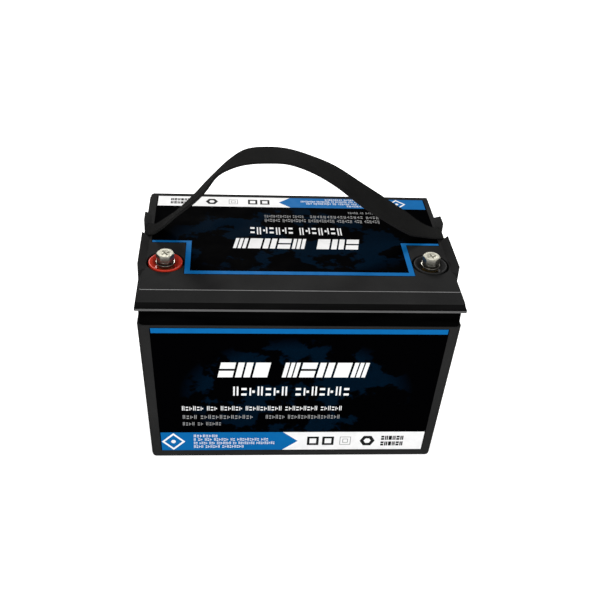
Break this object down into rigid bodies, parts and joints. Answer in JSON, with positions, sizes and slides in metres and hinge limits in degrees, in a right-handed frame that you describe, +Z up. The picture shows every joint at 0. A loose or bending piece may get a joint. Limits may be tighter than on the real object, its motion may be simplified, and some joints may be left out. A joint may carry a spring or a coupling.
{
  "type": "deep cycle battery",
  "caption": "Boxy deep cycle battery with a sloped lid, two sunk screw terminals, printed labels and a webbing carrying strap that swings on pins.",
  "frame": {"origin": "middle of the case's underside, on the surface it stands on", "axes": "+X to the right along the long side, +Y to the rear, +Z up; the front label and the terminals are towards -Y"},
  "size_m": [0.26, 0.18, 0.247],
  "materials": {
    "case_plastic": "black moulded ABS, fine satin texture",
    "label_film": "glossy printed film, black with blue and white fields",
    "webbing": "black woven nylon webbing",
    "red_plastic": "glossy red moulded plastic",
    "terminal_black": "satin black moulded plastic",
    "nickel": "bright nickel-plated steel",
    "brass": "turned brass",
    "rubber": "black rubber",
    "cell_case": "aluminium can wrapped in blue film",
    "foam": "grey closed-cell foam",
    "busbar_copper": "tinned copper, satin",
    "fibre_board": "green glass-fibre sheet",
    "circuit_board": "green solder mask",
    "heat_sink": "plain extruded aluminium",
    "red_cable": "red silicone insulation",
    "black_cable": "black silicone insulation",
    "white_nylon": "white nylon"
  },
  "bodies": {
    "case": {"case_box": "case_plastic", "case_lid": "case_plastic", "lid_seal": "rubber", "front_label": "label_film", "top_label": "label_film", "strap_pin_left": "nickel", "strap_pin_right": "nickel", "terminal_ring_positive": "red_plastic", "terminal_ring_negative": "terminal_black", "base_mat": "foam", "hold_down_foam": "foam", "insulation_board": "fibre_board", "bms_board": "circuit_board", "bms_heat_sink": "heat_sink", "balance_connector": "white_nylon", "balance_harness": "white_nylon", "positive_lead": "red_cable", "battery_negative_lead": "black_cable", "pack_negative_lead": "black_cable", "end_foam_left": "foam", "end_foam_right": "foam", "terminal_insert_positive": "brass", "terminal_oring_positive": "rubber", "lead_nut_positive": "brass", "terminal_insert_negative": "brass", "terminal_oring_negative": "rubber", "lead_nut_negative": "brass", "cell_1": "cell_case", "cell_nut_1_front": "nickel", "cell_nut_1_rear": "nickel", "cell_2": "cell_case", "cell_nut_2_front": "nickel", "cell_nut_2_rear": "nickel", "cell_3": "cell_case", "cell_nut_3_front": "nickel", "cell_nut_3_rear": "nickel", "cell_4": "cell_case", "cell_nut_4_front": "nickel", "cell_nut_4_rear": "nickel", "cell_pad_1": "foam", "busbar_1": "busbar_copper", "cell_pad_2": "foam", "busbar_2": "busbar_copper", "cell_pad_3": "foam", "busbar_3": "busbar_copper"},
    "strap": {"strap_grip": "webbing", "strap_leg_left": "webbing", "strap_leg_right": "webbing"},
    "positive_washers": {"flat_washer_positive": "nickel", "spring_washer_positive": "nickel"},
    "positive_bolt": {"terminal_bolt_positive": "nickel"},
    "negative_washers": {"flat_washer_negative": "nickel", "spring_washer_negative": "nickel"},
    "negative_bolt": {"terminal_bolt_negative": "nickel"}
  },
  "joints": [
    {"name": "strap_swing", "type": "hinge", "parent": "case", "child": "strap", "pos_m": [0, 0.01, 0.1665], "axis": [1, 0, 0], "range_deg": [-55, 55], "deforming": ["strap_leg_left", "strap_leg_right"]},
    {"name": "positive_bolt_lift", "type": "slide", "parent": "case", "child": "positive_washers", "axis": [0, 0, 1], "range_m": [-0.00181, 0.01001]},
    {"name": "positive_bolt_turn", "type": "hinge", "parent": "positive_washers", "child": "positive_bolt", "pos_m": [-0.1085, -0.038, 0.1751], "axis": [0, 0, 1], "range_deg": [-518, 2880]},
    {"name": "negative_bolt_lift", "type": "slide", "parent": "case", "child": "negative_washers", "axis": [0, 0, 1], "range_m": [-0.00181, 0.01001]},
    {"name": "negative_bolt_turn", "type": "hinge", "parent": "negative_washers", "child": "negative_bolt", "pos_m": [0.1085, -0.038, 0.1751], "axis": [0, 0, 1], "range_deg": [-518, 2880]}
  ],
  "couplings": [
    {"joint": "positive_bolt_lift", "follows": "positive_bolt_turn", "m_per_rad": 0.00019894},
    {"joint": "negative_bolt_lift", "follows": "negative_bolt_turn", "m_per_rad": 0.00019894}
  ]
}
